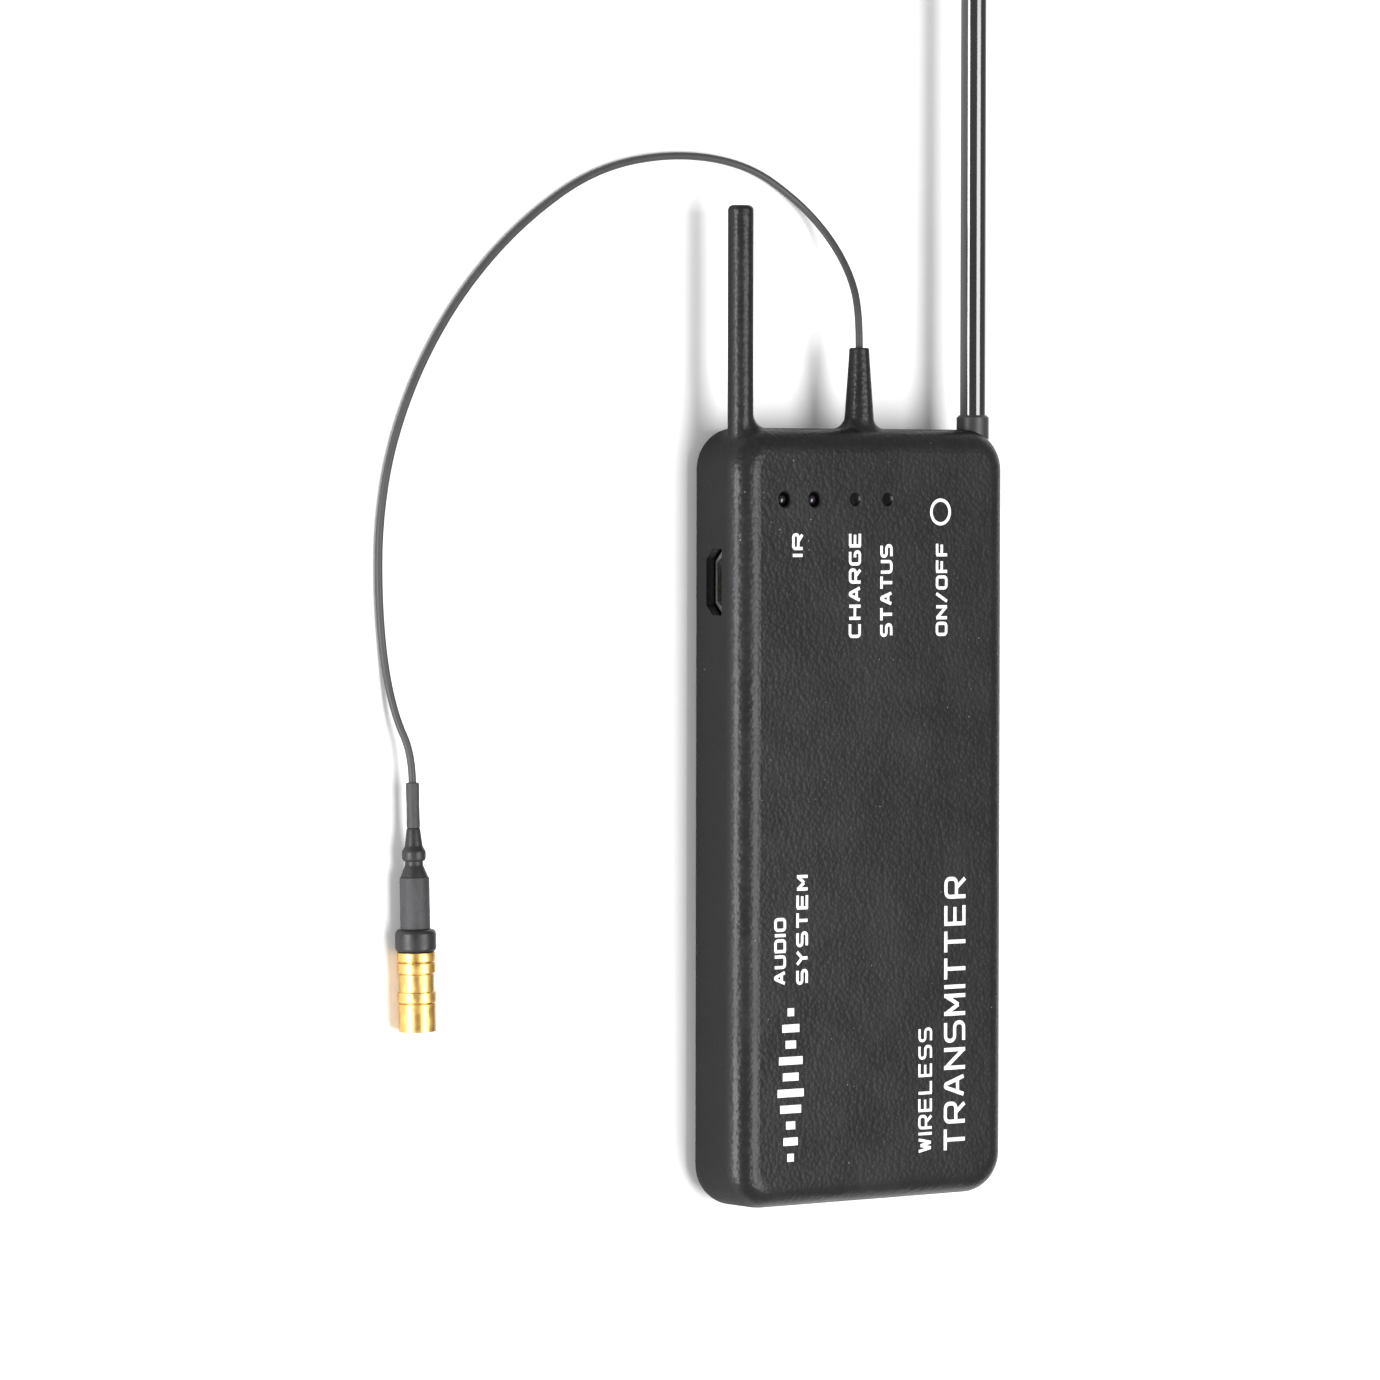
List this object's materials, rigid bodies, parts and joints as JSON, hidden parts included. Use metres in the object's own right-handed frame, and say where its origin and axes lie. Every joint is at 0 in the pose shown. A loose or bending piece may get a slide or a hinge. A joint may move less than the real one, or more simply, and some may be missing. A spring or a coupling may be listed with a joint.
{
  "type": "wireless bodypack transmitter",
  "caption": "Thin rubber-skinned bodypack transmitter with a stub antenna, a plug-in whip antenna, a micro-USB port and a thin microphone cable ending in a gilt coaxial connector.",
  "frame": {"origin": "centre of the case's flat back face, on which the part lies", "axes": "+X to the right seen from the front, +Y along the case towards the antennas, +Z out of the front face"},
  "size_m": [0.088, 0.204, 0.0108],
  "materials": {
    "case_rubber": "fine grained, matt",
    "screw_steel": "black oxide",
    "board_green": "solder mask",
    "chip_black": "moulded epoxy",
    "tin": "tin plate",
    "dark_lens": "tinted epoxy lens",
    "light_pipe": "smoked clear plastic",
    "led_body": "white package",
    "connector_plastic": "moulded nylon",
    "cream_plastic": "moulded nylon",
    "gilt": "gold plated",
    "cell_foil": "laminated foil pouch",
    "foam": "closed cell foam",
    "lead_red": "smooth insulation",
    "lead_black": "smooth insulation",
    "copper": "bare wire",
    "white_insulator": "fluoropolymer",
    "whip_gloss": "glossy jacket",
    "cable_grey": "satin jacket",
    "shrink_grey": "matt heat shrink",
    "boot_black": "moulded boot"
  },
  "bodies": {
    "case": {"front_cover": "case_rubber", "rear_cover": "case_rubber", "case_screws": "screw_steel", "main_board": "board_green", "board_screws": "screw_steel", "switch_body": "chip_black", "switch_dome": "tin", "infrared_emitter": "dark_lens", "infrared_receiver": "dark_lens", "charge_light_pipe": "light_pipe", "status_light_pipe": "light_pipe", "charge_led": "led_body", "status_led": "led_body", "usb_shell": "tin", "usb_tongue": "connector_plastic", "usb_contacts": "gilt", "battery_cell": "cell_foil", "battery_foam": "foam", "battery_board": "board_green", "battery_lead_positive": "lead_red", "battery_lead_negative": "lead_black", "battery_plug": "cream_plastic", "battery_socket": "cream_plastic", "radio_can": "tin", "stub_rod": "copper", "stub_clip": "tin", "antenna_socket": "gilt", "antenna_socket_insulator": "white_insulator", "antenna_socket_contact": "gilt", "cable_tail": "cable_grey", "cable_crimp": "copper", "cable_cores": "copper", "mic_cable": "cable_grey", "cable_end": "cable_grey", "shrink_sleeve": "shrink_grey", "plug_boot": "boot_black", "plug_sleeve": "shrink_grey", "plug_collar": "boot_black", "plug_body": "gilt", "plug_insulator": "white_insulator", "plug_contact": "gilt", "processor_chip": "chip_black", "audio_chip": "chip_black", "charger_chip": "chip_black", "radio_chip": "chip_black"},
    "power_button": {"power_button": "case_rubber", "switch_plunger": "connector_plastic"},
    "antenna_plug": {"antenna_plug": "gilt", "antenna_plug_insulator": "white_insulator"},
    "whip_antenna": {"antenna_pin": "gilt", "antenna_collar": "whip_gloss", "antenna_jacket": "whip_gloss", "antenna_wire": "copper"}
  },
  "joints": [
    {"name": "power_button_press", "type": "slide", "parent": "case", "child": "power_button", "axis": [0, 0, -1], "range_m": [0, 0.00025], "stiffness_N_per_m": 1500, "springref_m": -0.0001},
    {"name": "antenna_pull", "type": "slide", "parent": "case", "child": "antenna_plug", "axis": [0, 1, 0], "range_m": [0, 0.008]},
    {"name": "antenna_turn", "type": "hinge", "parent": "antenna_plug", "child": "whip_antenna", "pos_m": [0.018, 0.047, 0.0071], "axis": [0, 1, 0], "continuous": true}
  ]
}
